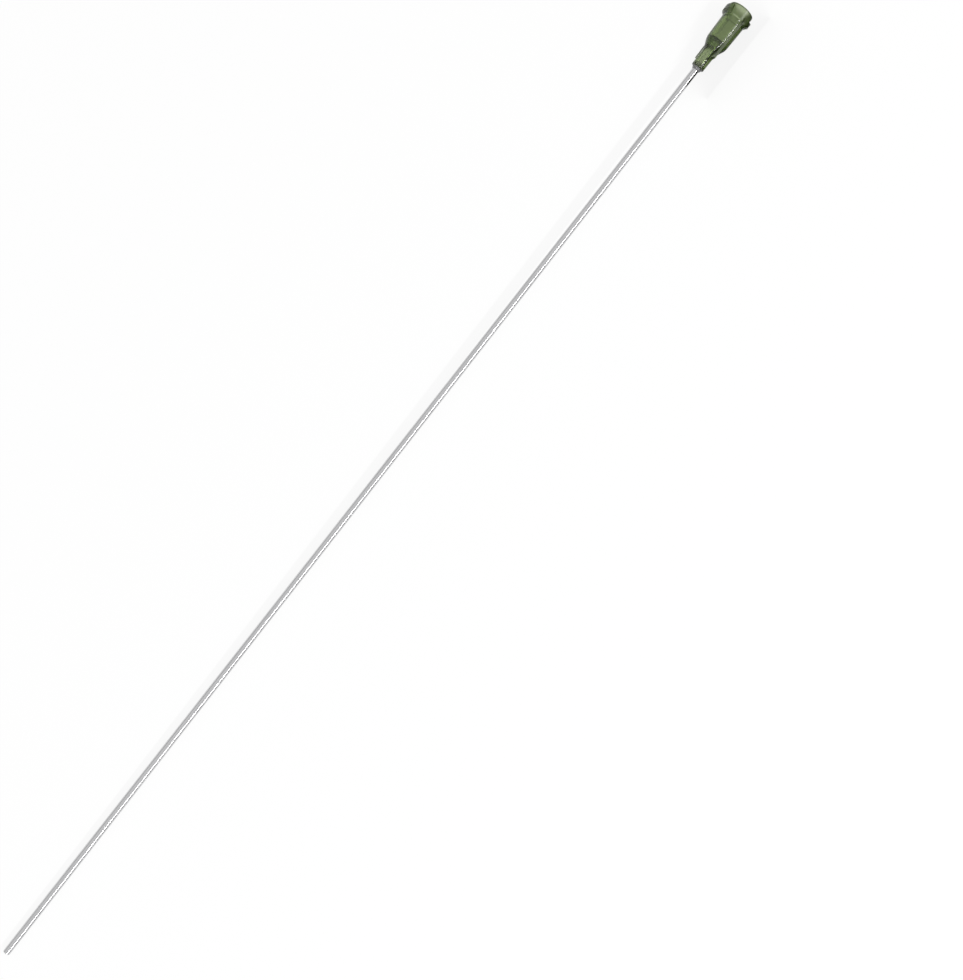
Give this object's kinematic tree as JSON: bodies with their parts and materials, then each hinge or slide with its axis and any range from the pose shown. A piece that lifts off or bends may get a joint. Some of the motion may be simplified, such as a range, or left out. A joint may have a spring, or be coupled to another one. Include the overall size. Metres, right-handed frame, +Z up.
{
  "type": "dispensing needle tip",
  "caption": "Long blunt dispensing needle tip: a translucent olive luer-lock hub moulded with thin wings, bonded to a straight stainless steel tube.",
  "frame": {"origin": "on the surface that the tip lies on, below the middle of its length and width", "axes": "+X runs along the tip from the blunt end to the luer mouth, +Z is up from the surface it lies on"},
  "size_m": [0.3, 0.0078, 0.0067],
  "materials": {
    "olive_polypropylene": "translucent moulded polypropylene, satin to gloss",
    "stainless_tube": "drawn and passivated stainless steel",
    "clear_adhesive": "cured adhesive, cloudy"
  },
  "bodies": {
    "root": {"luer_hub": "olive_polypropylene", "needle_tube": "stainless_tube", "adhesive_bead": "clear_adhesive"}
  },
  "joints": []
}
